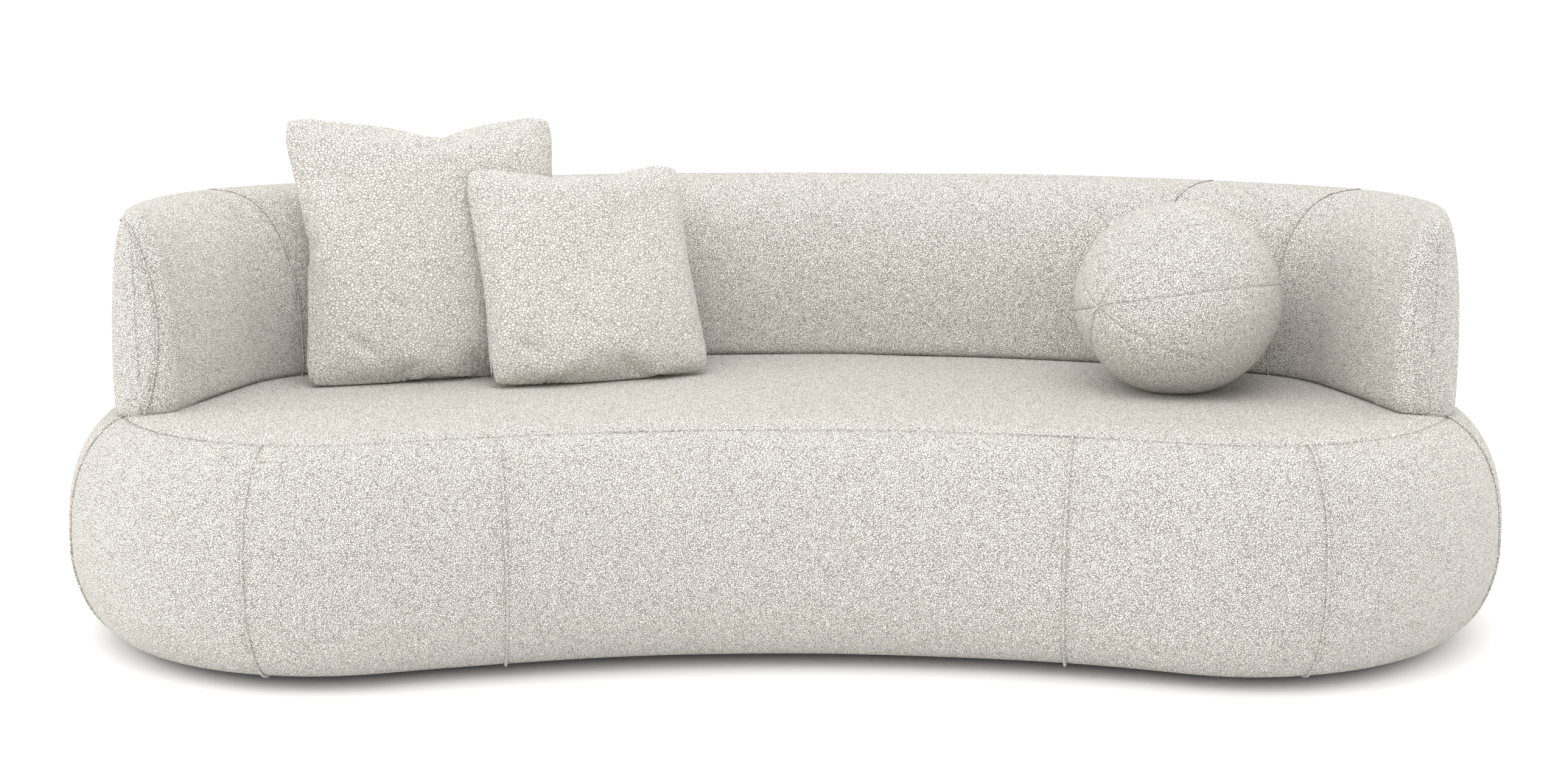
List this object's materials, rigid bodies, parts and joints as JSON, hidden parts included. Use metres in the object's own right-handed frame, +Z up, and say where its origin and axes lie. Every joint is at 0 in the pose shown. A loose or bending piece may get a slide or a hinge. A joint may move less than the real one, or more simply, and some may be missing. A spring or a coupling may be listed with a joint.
{
  "type": "curved sofa",
  "caption": "Bean-shaped upholstered sofa with a tight seat, a low crescent backrest that turns into arms, and loose pillows.",
  "frame": {"origin": "on the floor under the middle of the sofa", "axes": "+X along the sofa, +Y from the front to the backrest, +Z up"},
  "size_m": [2.45, 1.1229, 0.8387],
  "materials": {
    "sofa_boucle": "woven looped pile",
    "teddy_boucle": "coarse looped pile",
    "dust_cloth": "non-woven",
    "fibre_filling": "loose fibre in a lining",
    "foam": "open-cell foam",
    "felt_pad": "needled felt",
    "plywood": "sanded plywood",
    "timber": "planed timber",
    "black_plastic": "moulded",
    "spring_steel": "oiled wire",
    "zinc_steel": "zinc plated"
  },
  "bodies": {
    "sofa": {"arm_front_posts": "timber", "back_center_cover": "sofa_boucle", "back_foam": "foam", "back_inner_board": "plywood", "back_outer_board": "plywood", "back_outer_cover": "sofa_boucle", "back_posts": "timber", "back_seam_welts": "sofa_boucle", "back_top_rail": "timber", "base_seam_welts": "sofa_boucle", "corner_blocks": "timber", "cross_rail_1": "timber", "cross_rail_2": "timber", "cross_rail_3": "timber", "cross_rail_4": "timber", "cross_rail_5": "timber", "dust_cover": "dust_cloth", "feet": "black_plastic", "floor_board": "plywood", "foot_screws": "zinc_steel", "frame_bolts": "zinc_steel", "frame_nuts": "zinc_steel", "frame_washers": "zinc_steel", "front_center_cover": "sofa_boucle", "front_foam": "foam", "front_rail": "timber", "left_arm_cover": "sofa_boucle", "left_arm_foam": "foam", "left_end_cover": "sofa_boucle", "left_end_foam": "foam", "left_end_rail": "timber", "left_front_cover": "sofa_boucle", "left_front_foam": "foam", "left_shoulder_cover": "sofa_boucle", "left_side_cover": "sofa_boucle", "rear_cover": "sofa_boucle", "rear_foam": "foam", "rear_rail": "timber", "right_arm_cover": "sofa_boucle", "right_arm_foam": "foam", "right_end_cover": "sofa_boucle", "right_end_foam": "foam", "right_end_rail": "timber", "right_front_cover": "sofa_boucle", "right_front_foam": "foam", "right_shoulder_cover": "sofa_boucle", "right_side_cover": "sofa_boucle", "seat_cover": "sofa_boucle", "seat_foam": "foam", "seat_springs": "spring_steel", "spring_clips": "spring_steel", "spring_pad": "felt_pad"},
    "large_pillow": {"large_pillow_cover": "teddy_boucle", "large_pillow_filling": "fibre_filling"},
    "small_pillow": {"small_pillow_cover": "teddy_boucle", "small_pillow_filling": "fibre_filling"},
    "ball_pillow": {"ball_pillow_cover": "sofa_boucle", "ball_pillow_filling": "fibre_filling"}
  },
  "joints": [
    {"name": "large_pillow_lift", "type": "slide", "parent": "sofa", "child": "large_pillow", "axis": [-0.1, 0.2747, 0.9563], "range_m": [0, 0.3]},
    {"name": "small_pillow_lift", "type": "slide", "parent": "sofa", "child": "small_pillow", "axis": [-0.1, 0.2747, 0.9563], "range_m": [0, 0.3]},
    {"name": "ball_pillow_lift", "type": "slide", "parent": "sofa", "child": "ball_pillow", "axis": [0, 0, 1], "range_m": [0, 0.4]}
  ]
}
